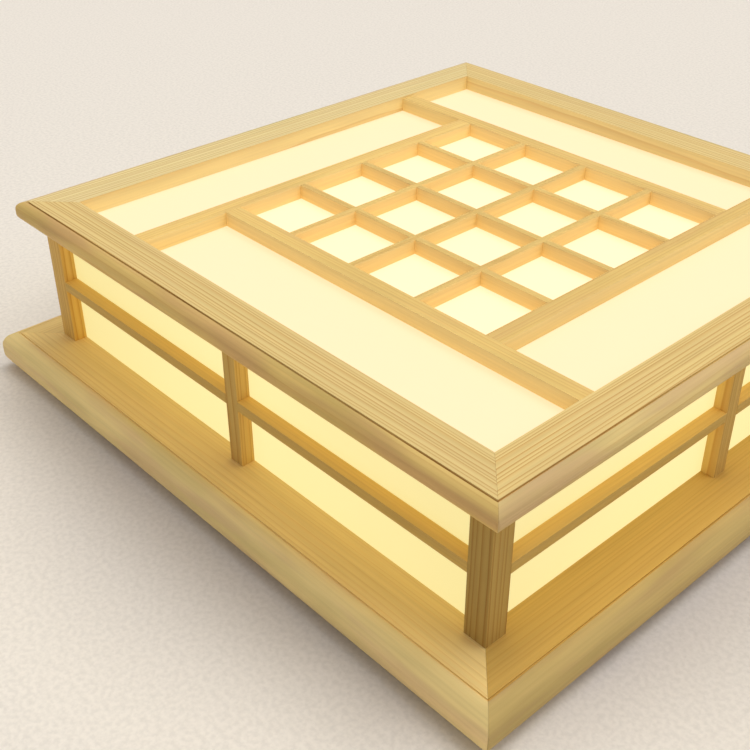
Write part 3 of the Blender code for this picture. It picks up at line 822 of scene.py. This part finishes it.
@dataclass
class MouldedFrame:
    """Four mitred pine rails with a moulded outer edge: a quirk line, then a rounded nose.

    Tones and hearts are given in the order of SIDES, and partly paint the light and shade each side
    gets. Those of a nose count from its rail's own.
    """

    prefix: str
    nose: float
    cut: Cut
    tones: PerSide
    hearts: PerSide
    line: float
    # Painted shade on each rounded nose, as a share of its rail's tone, and each nose's own shift of
    # colour.
    nose_painted_shade: PerSide
    nose_hearts: PerSide
    pine: Pine
    draw: random.Random
    nose_drop: float = 0.4 * MM
    nose_steps: int = 26
    nose_blotch: float = 0.5
    nose_line: float = 0.3
    quirk_width: float = 1.0 * MM
    quirk_depth: float = 1.2 * MM
    quirk_ease: float = 0.35 * MM
    quirk_segments: int = 3
    # Painted shade in the quirk's groove, as a share of the rail's tone.
    quirk_painted_shade: float = 0.92
    # Shares of the quirk's width or depth, by which its lips and faces are known.
    lip_reach: float = 0.6
    quirk_slack: float = 0.02
    quirk_depths: Span = (0.25, 1.1)
    arris: float = 0.35 * MM
    # Painted light from the lit sheets on the rail's inner edge: lighter and yellower than the rail.
    inner_edge_painted_light: float = 1.13
    inner_edge_light_heart: float = -1.0
    # The mitres, and the cuts that round a corner, in degrees.
    overlength: float = 5.0 * MM
    mitre_gap: float = 0.05 * MM
    mitre_reach: float = 0.2 * MM
    corner_radius: float = 2.2 * MM
    corner_cuts: tuple[float, ...] = (9.0, 27.0, 45.0)
    # Sizes that the CAD node gives.
    outer: float = field(init=False)
    inner: float = field(init=False)
    bottom: float = field(init=False)
    top: float = field(init=False)

    def __post_init__(self) -> None:
        """Read the rail's size from its front node."""
        low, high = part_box(f"{self.prefix}_front")
        self.outer, self.inner = -low.y, -high.y
        self.bottom, self.top = low.z, high.z

    def inside_section(self) -> Outline:
        """Return the section's corners from the nose's foot round the back to the flat top."""
        raise NotImplementedError

    def section(self) -> Outline:
        """Draw the rail's whole section.

        Returns:
            Its corners, from the quirk's inner lip round the nose and the back.
        """
        quirk = self.outer - self.nose
        half = (self.top - self.nose_drop - self.bottom) / 2
        edge = [
            (quirk - self.quirk_width, self.top),
            (quirk - self.quirk_width, self.top - self.quirk_depth),
            (quirk, self.top - self.quirk_depth),
        ]
        for step in range(self.nose_steps + 1):
            angle = pi / 2 - pi * step / self.nose_steps
            edge.append((quirk + self.nose * cos(angle), self.bottom + half + half * sin(angle)))
        return edge + self.inside_section()

    def build_rail(self) -> bpy.types.Object:
        """Build the front rail, mitred and eased.

        Returns:
            The front rail.
        """
        reach = self.outer + self.overlength
        rail = Bench.draw_section(f"{self.prefix}_front_pine", self.section(), -reach, reach)
        for way in (-1, 1):
            Bench.saw(rail, (-way * self.mitre_gap, 0, 0), (way, 1, 0))
            self.round_corner(rail, way)
        if self.quirk_ease > self.arris:
            Bench.ease(rail, self.quirk_ease, self.quirk_segments, sharp=self.off_quirk)
        Bench.ease(rail, self.arris, sharp=self.at_mitre)
        return rail

    def at_mitre(self, edge: bmesh.types.BMEdge) -> bool:
        """Return whether an edge lies in a mitre."""
        return all(abs(abs(vert.co.x) - abs(vert.co.y)) < self.mitre_reach for vert in edge.verts)

    def off_quirk(self, edge: bmesh.types.BMEdge) -> bool:
        """Return whether an edge of the front rail isn't one of the quirk's two lips.

        Args:
            edge: The edge.

        Returns:
            True for an edge that lies elsewhere or in a mitre.
        """
        middle = self.outer - self.nose - self.quirk_width / 2
        lowest = self.top - self.lip_reach * self.quirk_depth
        farthest = self.lip_reach * self.quirk_width
        lip = all(abs(-vert.co.y - middle) < farthest and vert.co.z > lowest for vert in edge.verts)
        return self.at_mitre(edge) or not lip

    def round_corner(self, rail: bpy.types.Object, way: int) -> None:
        """Sand the nose round at one end, with cuts that touch an upright cylinder.

        Args:
            rail: The front rail.
            way: The end along X, -1 or 1.
        """
        middle = self.outer - self.corner_radius
        for degrees in self.corner_cuts:
            away = Vector((way * sin(radians(degrees)), -cos(radians(degrees)), 0))
            Bench.saw(rail, Vector((way * middle, -middle, 0)) + self.corner_radius * away, away)

    def looks(self, turn: int) -> dict[RailPart, WoodLook]:
        """List the looks of one rail's parts.

        Args:
            turn: The rail's number among the sides.

        Returns:
            The looks by part, in the order of the rail's finishes.
        """
        tone, heart = self.tones[turn], self.hearts[turn]
        fine = self.nose_line * self.line
        return {
            RailPart.WOOD: WoodLook(tone, heart, self.line),
            # The quirk: its rail's wood darkened by painted shade.
            RailPart.QUIRK: WoodLook(self.quirk_painted_shade * tone, heart, self.line),
            # The nose: its rail's wood darkened by painted shade.
            RailPart.NOSE: WoodLook(self.nose_painted_shade[turn] * tone, heart + self.nose_hearts[turn],
                                    fine, self.nose_blotch),
            # The inner edge: its rail's wood lightened and yellowed by painted light.
            RailPart.INNER_EDGE: WoodLook(self.inner_edge_painted_light * tone, self.inner_edge_light_heart, fine),
        }

    def part_finishes(self, rail: bpy.types.Object, out_axis: int) -> None:
        """Give each part of a rail its own finish.

        Args:
            rail: The rail, with a finish for each part.
            out_axis: The axis that leads out of the frame at this rail.
        """
        quirk = self.outer - self.nose
        slack = self.quirk_slack * self.quirk_width
        shallow, deep = self.quirk_depths
        for face in rail.data.polygons:
            out = abs(face.center[out_axis])
            depth = (self.top - face.center.z) / self.quirk_depth
            part = RailPart.WOOD
            if out < self.inner + self.arris:
                part = RailPart.INNER_EDGE
            elif out > quirk + slack:
                part = RailPart.NOSE
            elif out > quirk - self.quirk_width - slack and shallow < depth < deep:
                part = RailPart.QUIRK
            face.material_index = part.value

    def build(self) -> None:
        """Build the four rails, dress them and seat them on the shade."""
        front = self.build_rail()
        rails = [front]
        rails += [Bench.turned_copy(front, f"{self.prefix}_{side}_pine", turn)
                  for turn, side in enumerate(SIDES) if turn]
        for turn, (side, rail) in enumerate(zip(SIDES, rails)):
            node = f"{self.prefix}_{side}"
            grain = SIDE_GRAIN[side]
            self.pine.coat(rail, node, grain, self.cut, self.draw, self.looks(turn))
            self.part_finishes(rail, AXIS_Y if grain is Grain.X else AXIS_X)
            seat(rail, "shade", [node])


class FaceFrame(MouldedFrame):
    """The frame round the lattice, rebated behind for the diffuser sheets."""

    def inside_section(self) -> Outline:
        """Draw the rebate's corners and the inner edge.

        Returns:
            The corners, from the nose's foot to the flat top.
        """
        post = -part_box("corner_post_front_left")[1].y
        rebate = max(post, -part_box("side_diffuser_front")[0].y + FIT_GAP)
        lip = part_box("lattice_bar_front")[0].z
        return [(rebate, self.bottom), (rebate, lip), (self.inner, lip), (self.inner, self.top)]


class BaseFrame(MouldedFrame):
    """The wide frame at the ceiling, grooved on top for the side sheets."""

    def inside_section(self) -> Outline:
        """Draw the foot, the inner edge and the groove.

        Returns:
            The corners, from the nose's foot to the flat top.
        """
        low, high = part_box("side_diffuser_front")
        floor = low.z - FIT_GAP
        near, far = -low.y + FIT_GAP, -high.y - FIT_GAP
        return [
            (self.inner, self.bottom), (self.inner, self.top), (far, self.top),
            (far, floor), (near, floor), (near, self.top),
        ]


@dataclass
class Joinery:
    """Jointed pine pieces that keep their CAD shape and get eased arrises.

    The side look's tone and line count from the flat look's; the sides' tone is painted light or
    shade. A piece may have a tone of its own.
    """

    nodes: dict[str, Grain]
    cut: Cut
    pine: Pine
    draw: random.Random
    flat: WoodLook
    side: WoodLook = WoodLook()
    tones: dict[str, float] = field(default_factory=dict)
    tone_spread: float = 0.04
    arris: float = 0.3 * MM
    closing: float = 0.25 * MM

    def build(self) -> None:
        """Build the pieces, dress them and seat them on the shade."""
        for node, grain in self.nodes.items():
            piece = Bench.copy_of_node(node, f"{node}_pine")
            along = "XYZ".index(grain.name)
            self.close_joints(piece, along)
            Bench.ease(piece, self.arris, sharp=lambda edge: self.at_joint(edge, along))
            self.dress(piece, node, grain)
            seat(piece, "shade", [node])

    @staticmethod
    def at_joint(edge: bmesh.types.BMEdge, axis: int) -> bool:
        """Return whether an edge bounds an end, a shoulder or a notch, square to the grain's axis."""
        return any(abs(face.normal[axis]) > SQUARE_ON for face in edge.link_faces)

    def close_joints(self, piece: bpy.types.Object, axis: int) -> None:
        """Push ends, shoulders and notch walls out, until only a hairline of the fit's gap is left.

        Args:
            piece: The piece to fit.
            axis: The number of the grain's axis.
        """
        for way in (-1.0, 1.0):
            Bench.edit(piece, Pick.FACE, lambda face: face.normal[axis] * way > SQUARE_ON)
            step = [0.0, 0.0, 0.0]
            step[axis] = way * self.closing
            bpy.ops.transform.translate(value=step)
            Bench.close()

    def dress(self, piece: bpy.types.Object, node: str, grain: Grain) -> None:
        """Give a piece one finish on its flat faces and a lighter or darker copy on its sides, as
        painted light or shade.

        Args:
            piece: The piece to dress.
            node: The CAD node that it stands for.
            grain: The axis that its grain follows.
        """
        tone = self.tones.get(node, self.flat.tone) + self.draw.uniform(-1, 1) * self.tone_spread
        side_line = self.side.line * self.flat.line
        self.pine.coat(piece, node, grain, self.cut, self.draw, {
            Surface.FLAT: replace(self.flat, tone=tone),
            # The sides: a lighter or darker copy of the flat faces' wood, as painted light or shade.
            Surface.SIDE: replace(self.side, tone=self.side.tone * tone, line=side_line),
        })
        axis = self.flat_axis(node, grain)
        for face in piece.data.polygons:
            beside = abs(face.normal[axis]) < SIDEWAYS
            face.material_index = (Surface.SIDE if beside else Surface.FLAT).value

    @staticmethod
    def flat_axis(node: str, grain: Grain) -> int:
        """Find the axis that a piece's flat faces look along.

        Args:
            node: The CAD node.
            grain: The axis that its grain follows.

        Returns:
            The axis out of its wall for an upright post, and the upright axis for the others.
        """
        if grain is not Grain.Z:
            return AXIS_Z
        middle = middle_of(node)
        return AXIS_X if abs(middle.x) > abs(middle.y) + MM else AXIS_Y


@dataclass
class Shade:
    """The shade: two moulded frames, four walls, the lattice, the lit sheets and the magnets."""

    pine: Pine = Pine()
    draw: random.Random = field(default_factory=lambda: random.Random(WOOD_SEED))
    face_sheet: OpalSheet = FACE_GLOW
    side_sheet: OpalSheet = SIDE_GLOW
    magnet: Coating = NICKEL

    def frames(self) -> list[MouldedFrame]:
        """Plan the face frame and the base frame.

        Returns:
            The frames, ready to build.
        """
        return [
            FaceFrame(
                "face_rail", nose=6.0 * MM, cut=Cut.QUARTER, pine=self.pine, draw=self.draw,
                # Per side: the back and left rails paler and yellower, a painted sheen on the far
                # rails.
                tones=(0.97, 1.0, 1.0, 1.03), hearts=(-0.1, 0.05, -0.3, -0.9), line=1.7,
                # Noses darker than their rails: painted shade.
                nose_painted_shade=(0.93, 0.93, 0.97, 0.97), nose_hearts=(0.8, -0.15, 0.0, 0.0),
                nose_blotch=0.7),
            BaseFrame(
                "base_rail", nose=9.6 * MM, cut=Cut.RIFT, pine=self.pine, draw=self.draw,
                # Per side: the front rail lighter, painted light on its shaded side; the right one
                # darker and redder, painted shade.
                tones=(1.12, 0.77, 1.0, 1.0), hearts=(0.1, 1.5, 0.1, 0.1), line=0.45,
                # Noses darker than their rails: painted shade.
                nose_painted_shade=(0.98, 0.94, 0.97, 0.97), nose_hearts=(-0.4, -1.15, 0.0, 0.0),
                # No painted shade in the base frame's quirk.
                quirk_painted_shade=1.0, quirk_depth=0.9 * MM, quirk_ease=0.7 * MM),
        ]

    def walls(self) -> list[Joinery]:
        """Plan the posts and rails of the four side walls.

        Returns:
            The groups of pieces, ready to build.
        """
        posts = {f"corner_post_{corner}": Grain.Z for corner in CORNERS}
        mid_posts = {f"mid_post_{side}": Grain.Z for side in SIDES}
        rails = {f"side_rail_{side}": grain for side, grain in SIDE_GRAIN.items()}
        return [
            # Corner posts: faces darker, sides lighter as painted light from the right; the near post
            # darker as painted shade.
            Joinery(posts, Cut.RIFT, self.pine, self.draw,
                    flat=WoodLook(tone=0.82, heart=1.3, line=1.5),
                    side=WoodLook(tone=1.13, heart=1.3), tones={"corner_post_front_right": 0.52}),
            # Mid posts: faces darker as painted shade, sides lighter as painted light from the lit
            # sheets.
            Joinery(mid_posts, Cut.QUARTER, self.pine, self.draw,
                    flat=WoodLook(tone=0.75, heart=1.25, line=1.3),
                    side=WoodLook(tone=1.18, heart=1.0)),
            # Side rails: the outer faces darker than the tops, as painted shade.
            Joinery(rails, Cut.RIFT, self.pine, self.draw,
                    flat=WoodLook(tone=1.04, heart=1.1, line=0.25),
                    side=WoodLook(tone=0.73, heart=1.3)),
        ]

    def lattice(self) -> list[Joinery]:
        """Plan the bars and slats of the face, and the hidden beads and blocks.

        Returns:
            The groups of pieces, ready to build.
        """
        bars = {f"lattice_bar_{side}": grain for side, grain in BAR_GRAIN.items()}
        slats = {f"lattice_slat_{axis}{number}": Grain[axis.upper()]
                 for axis in "xy" for number in (1, 2, 3)}
        beads = {f"diffuser_bead_{side}": grain for side, grain in SIDE_GRAIN.items()}
        blocks = {f"corner_block_{corner}": Grain.X for corner in CORNERS}
        return [
            # Bars: sides yellower than the tops, as painted light from the lit sheet below.
            Joinery(bars, Cut.RIFT, self.pine, self.draw,
                    flat=WoodLook(tone=1.08, heart=0.7, line=0.7, blotch=0.3),
                    side=WoodLook(tone=1.05, heart=-0.6, line=0.2), tones={"lattice_bar_back": 0.98}),
            # Slats: sides lighter and yellower than the tops, as painted light from the lit sheet
            # below.
            Joinery(slats, Cut.FLAT, self.pine, self.draw, arris=0.25 * MM,
                    flat=WoodLook(tone=1.0, heart=0.75, line=0.5),
                    side=WoodLook(tone=1.13, heart=-0.3, line=0.2)),
            Joinery(beads, Cut.RIFT, self.pine, self.draw, flat=WoodLook(tone=0.98, line=0.8)),
            Joinery(blocks, Cut.FLAT, self.pine, self.draw, arris=0.6 * MM,
                    flat=WoodLook(tone=0.95, line=0.8)),
        ]

    def build(self) -> None:
        """Build the timber, group by group."""
        for group in self.frames() + self.walls() + self.lattice():
            group.build()

    def dress(self, nodes: dict[str, bpy.types.Object]) -> None:
        """Give the lit sheets and the magnets their finishes.

        Args:
            nodes: The CAD nodes by name.
        """
        dress_node(nodes["face_diffuser"], self.face_sheet.material())
        side, plate = self.side_sheet.material(), self.magnet.material()
        for name in SIDES:
            dress_node(nodes[f"side_diffuser_{name}"], side)
        for corner in CORNERS:
            dress_node(nodes[f"magnet_{corner}"], plate)


@dataclass
class Screw:
    """A small round-headed screw, of which only the head shows."""

    name: str
    radius: float
    height: float
    drive: Drive
    finish: bpy.types.Material
    blade: float = 0.8 * MM
    head_sides: int = 24
    # Share of the height that is domed, and the turn from one screw to the next.
    dome: float = 0.55
    dome_segments: int = 4
    turn_step: float = 0.7

    def model(self) -> bpy.types.Object:
        """Model one head on the origin, domed and cut for its driver.

        Returns:
            The head.
        """
        Bench.deselect()
        bpy.ops.mesh.primitive_cylinder_add(
            vertices=self.head_sides, radius=self.radius, depth=self.height,
            location=(0, 0, self.height / 2))
        head = bpy.context.object
        head.name = head.data.name = self.name
        bpy.ops.object.transform_apply(location=True)
        middle = self.height / 2
        Bench.edit(head, Pick.EDGE, lambda edge: all(vert.co.z > middle for vert in edge.verts))
        bpy.ops.mesh.bevel(offset=self.dome * self.height, segments=self.dome_segments, affect="EDGES")
        Bench.close()
        for turn in self.drive.turns:
            self.cut_blade(head, turn)
        Bench.take(head)
        bpy.ops.object.shade_smooth_by_angle(angle=SMOOTH_ANGLE)
        return head

    def cut_blade(self, head: bpy.types.Object, turn: float) -> None:
        """Cut one driver blade's recess into a head.

        Args:
            head: The screw head.
            turn: The blade's turn about the screw.
        """
        Bench.deselect()
        bpy.ops.mesh.primitive_cube_add(size=1.0, location=(0, 0, self.height), rotation=(0, 0, turn))
        cutter = bpy.context.object
        cutter.scale = (self.drive.length * self.radius, self.blade, self.height)
        modifier = head.modifiers.new("blade", "BOOLEAN")
        modifier.operation = "DIFFERENCE"
        modifier.solver = "EXACT"
        modifier.object = cutter
        bpy.context.view_layer.objects.active = head
        bpy.ops.object.modifier_apply(modifier="blade")
        bpy.data.objects.remove(cutter, do_unlink=True)

    def set_at(self, places: list[Place], body: str) -> None:
        """Put one screw at each place.

        Args:
            places: The middles of the heads' seats.
            body: The CAD body that carries them.
        """
        head = self.model()
        for number, place in enumerate(places, start=1):
            mesh = head.data.copy()
            turn = Matrix.Rotation(self.turn_step * number, 4, "Z")
            mesh.transform(Matrix.Translation(place) @ turn)
            mesh.materials.append(self.finish)
            seat(Bench.set_out(f"{self.name}_{number}", mesh), body)
        bpy.data.objects.remove(head, do_unlink=True)


@dataclass
class LightEngine:
    """The steel tray with its boards, lenses, driver, terminals and bush.

    A screw's size is its head's radius and height.
    """

    steel: Coating = STEEL
    board: Coating = BOARD
    lens: Coating = LENS
    case: Coating = CASE
    terminal: Coating = TERMINAL
    rubber: Coating = RUBBER
    phosphor: Coating = PHOSPHOR
    zinc: Coating = ZINC
    brass: Coating = BRASS
    rows: int = 4
    chips: int = 8
    chip: float = 3.0 * MM
    chip_thick: float = 0.2 * MM
    chip_edge: float = 0.06 * MM
    # How far the edges of the cases are rounded.
    tray_edge: float = 0.4 * MM
    case_edge: float = 0.8 * MM
    terminal_edge: float = 0.35 * MM
    bush_edge: float = 0.6 * MM
    edge_segments: int = 3
    # The terminal block's wells and the driver's ears, in which screws sit.
    poles: int = 3
    well_depth: float = 5.0 * MM
    ear: float = 10.0 * MM
    ear_thick: float = 2.4 * MM
    board_screw: Span = (2.8 * MM, 1.9 * MM)
    driver_screw: Span = (3.6 * MM, 2.3 * MM)
    clamp_screw: Span = (2.1 * MM, 2.2 * MM)

    def dress(self, nodes: dict[str, bpy.types.Object]) -> None:
        """Give the CAD pieces their finishes.

        Args:
            nodes: The CAD nodes by name.
        """
        board, lens = self.board.material(), self.lens.material()
        for row in range(1, self.rows + 1):
            dress_node(nodes[f"led_board_{row}"], board)
            dress_node(nodes[f"led_lens_{row}"], lens)

    def build(self) -> None:
        """Build the cases, the chips and the screws."""
        self.build_cases()
        self.build_chips()
        self.build_screws()

    def build_cases(self) -> None:
        """Build the tray, the driver's case, the terminal block and the bush with soft edges."""
        for node, finish, slot, edge in (
                ("chassis_tray", self.steel, "white_steel", self.tray_edge),
                ("led_driver", self.case, "white_plastic", self.case_edge),
                ("terminal_block", self.terminal, "cream_plastic", self.terminal_edge),
                ("cable_bush", self.rubber, "black_rubber", self.bush_edge)):
            piece = Bench.copy_of_node(node, f"{node}_soft")
            Bench.ease(piece, edge, self.edge_segments)
            piece.data.materials.append(finish.material())
            seat(piece, "chassis", [node])

    def build_chips(self) -> None:
        """Build each board's row of light chips, under the domes of its lens strip."""
        glow = self.phosphor.material()
        for row in range(1, self.rows + 1):
            low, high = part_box(f"led_lens_{row}")
            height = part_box(f"led_board_{row}")[1].z + self.chip_thick / 2
            pitch = (high.x - low.x) / self.chips
            for number in range(self.chips):
                Bench.deselect()
                place = (low.x + pitch * (number + 0.5), (low.y + high.y) / 2, height)
                bpy.ops.mesh.primitive_cube_add(size=1.0, location=place)
                bpy.context.object.scale = (self.chip, self.chip, self.chip_thick)
                bpy.ops.object.transform_apply(location=True, rotation=True, scale=True)
                if number == 0:
                    chips = bpy.context.object
                else:
                    chips.select_set(True)
                    bpy.context.view_layer.objects.active = chips
                    bpy.ops.object.join()
            chips.name = chips.data.name = f"led_chips_{row}"
            Bench.ease(chips, self.chip_edge, segments=1)
            chips.data.materials.append(glow)
            seat(chips, "chassis")

    def build_screws(self) -> None:
        """Build the screws of the boards, the driver and the terminals."""
        zinc, brass = self.zinc.material(), self.brass.material()
        board_places = []
        for row in range(1, self.rows + 1):
            low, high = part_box(f"led_board_{row}")
            board_places += [(x, (low.y + high.y) / 2, high.z) for x in (low.x, high.x)]
        low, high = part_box("led_driver")
        driver_places = [(x, (low.y + high.y) / 2, low.z + self.ear_thick)
                         for x in (low.x + self.ear / 2, high.x - self.ear / 2)]
        low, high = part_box("terminal_block")
        pitch = (high.x - low.x) / self.poles
        clamp_places = [(low.x + pitch * (pole + 0.5), (low.y + high.y) / 2, high.z - self.well_depth)
                        for pole in range(self.poles)]
        for name, size, drive, finish, places in (
                ("board_screw", self.board_screw, Drive.CROSS, zinc, board_places),
                ("driver_screw", self.driver_screw, Drive.CROSS, zinc, driver_places),
                ("clamp_screw", self.clamp_screw, Drive.SLOT, brass, clamp_places)):
            Screw(name, *size, drive, finish).set_at(places, "chassis")


@dataclass(frozen=True)
class PhotoCamera:
    """A camera at the photograph's place, for a square picture."""

    eye: Place = (0.4342, -0.4831, 0.4265)
    view: Place = (-0.6099, 0.5666, -0.5540)
    roll: float = 0.0016
    # Millimetres, as the camera counts them, and shares of the picture's width.
    lens: float = 54.63
    sensor: float = 36.0
    shift: Span = (-0.0100, 0.0061)
    nearest: float = 0.01

    def build(self) -> None:
        """Add the camera and make it the scene's own."""
        Bench.deselect()
        turn = Vector(self.view).to_track_quat("-Z", "Y").to_matrix()
        turn = turn @ Matrix.Rotation(self.roll, 3, "Z")
        bpy.ops.object.camera_add(location=self.eye, rotation=turn.to_euler())
        camera = bpy.context.object
        camera.name = "photo_camera"
        camera.data.lens = self.lens
        camera.data.sensor_width = self.sensor
        camera.data.shift_x, camera.data.shift_y = self.shift
        camera.data.clip_start = self.nearest
        bpy.context.scene.camera = camera


@dataclass(frozen=True)
class SoftLight:
    """A far light on the lamp and the floor alike, with its spread in degrees."""

    name: str
    source: Place
    spread: float
    strength: float

    def build(self) -> None:
        """Add the light."""
        Bench.deselect()
        turn = (-Vector(self.source)).to_track_quat("-Z", "Y").to_euler()
        bpy.ops.object.light_add(type="SUN", location=self.source, rotation=turn)
        light = bpy.context.object
        light.name = self.name
        light.data.angle = radians(self.spread)
        light.data.energy = self.strength


@dataclass(frozen=True)
class Studio:
    """A pale floor with a painted shadow round the lamp, under even light and soft lights above,
    behind, right and front.
    """

    # A painted shadow on the floor fades out over this span of distances from the lamp's middle.
    floor_shadow_fade: Span = (0.24, 0.36)
    # The painted shadow's colour near the lamp, then the floor's own colour.
    floor_shadow_colour: Colour = (0.63, 0.59, 0.562)
    floor_far: Colour = (0.89, 0.825, 0.738)
    floor_size: float = 14.0
    floor_drop: float = 0.2 * MM
    floor_roughness: float = 0.85
    floor_gloss: float = 0.2
    fleck: float = 0.89
    fleck_waves: float = 360.0
    fleck_edge: Span = (0.3, 0.75)
    fleck_strength: float = 0.35
    fleck_depth: float = 0.6 * MM
    sky: Colour = (1.0, 0.985, 0.965)
    sky_strength: float = 0.39
    backdrop: Colour = (0.79, 0.725, 0.645)
    lights: tuple[SoftLight, ...] = (
        SoftLight("main_light", (0.2, 1.2, 3.4), spread=30.0, strength=0.84),
        SoftLight("top_light", (-0.25, 0.6, 2.4), spread=50.0, strength=0.70),
        SoftLight("right_light", (2.3, 1.1, 2.2), spread=30.0, strength=0.52),
        SoftLight("front_light", (0.5, -2.4, 0.5), spread=60.0, strength=0.28),
    )

    def build(self) -> None:
        """Add the floor, the world's light and the soft lights."""
        bpy.context.scene.view_settings.view_transform = "Standard"
        self.build_floor()
        self.build_sky()
        for light in self.lights:
            light.build()

    def build_floor(self) -> None:
        """Add the floor, a stage piece with a painted shadow that darkens it near the lamp."""
        Bench.deselect()
        bpy.ops.mesh.primitive_plane_add(size=self.floor_size, location=(0, 0, -self.floor_drop))
        floor = bpy.context.object
        floor.name = "floor"
        material, board, shader = new_material("floor_paper")
        coords = board.coords()
        fleck = board.noise(coords, even(self.fleck_waves), detail=4.0)
        far = board.band(board.length(coords), *self.floor_shadow_fade)
        # The floor's colour with the painted shadow near the lamp.
        plain = board.mix(far, self.floor_shadow_colour, self.floor_far)
        flecked = board.mix(1.0, plain, grey(self.fleck), "MULTIPLY")
        board.fill(shader, {
            "Base Color": board.mix(board.band(fleck, *self.fleck_edge), plain, flecked),
            "Normal": board.bump(fleck, self.fleck_strength, self.fleck_depth),
            "Roughness": self.floor_roughness, "Specular IOR Level": self.floor_gloss,
        })
        floor.data.materials.append(material)

    def build_sky(self) -> None:
        """Set the world's even light, with the floor's colour behind the lamp."""
        world = bpy.data.worlds.new("studio")
        bpy.context.scene.world = world
        world.use_nodes = True
        board = NodeBoard(world.node_tree)
        background = world.node_tree.nodes["Background"]
        board.fill(background, {"Color": (*self.sky, 1.0), "Strength": self.sky_strength})
        seen = board.add("Background", {"Color": (*self.backdrop, 1.0), "Strength": 1.0})
        rays = board.add("LightPath").outputs
        mirrored = board.math("MAXIMUM", rays["Is Glossy Ray"], rays["Is Transmission Ray"])
        shown = board.math("MAXIMUM", rays["Is Camera Ray"], mirrored)
        mixed = board.add("MixShader", {0: shown, 1: background.outputs[0], 2: seen.outputs[0]})
        board.fill(world.node_tree.nodes["World Output"], {"Surface": mixed.outputs[0]})


def clear_stage() -> None:
    """Remove whatever the open file holds."""
    for item in list(bpy.data.objects):
        bpy.data.objects.remove(item, do_unlink=True)


def main() -> None:
    """Build the lamp's looks round its frame."""
    logging.basicConfig(level=logging.INFO, format="%(name)s: %(message)s")
    clear_stage()
    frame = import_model()
    PhotoCamera().build()
    Studio().build()
    for assembly in (Shade(), LightEngine()):
        assembly.build()
        assembly.dress(frame["nodes"])


if __name__ == "__main__":
    main()
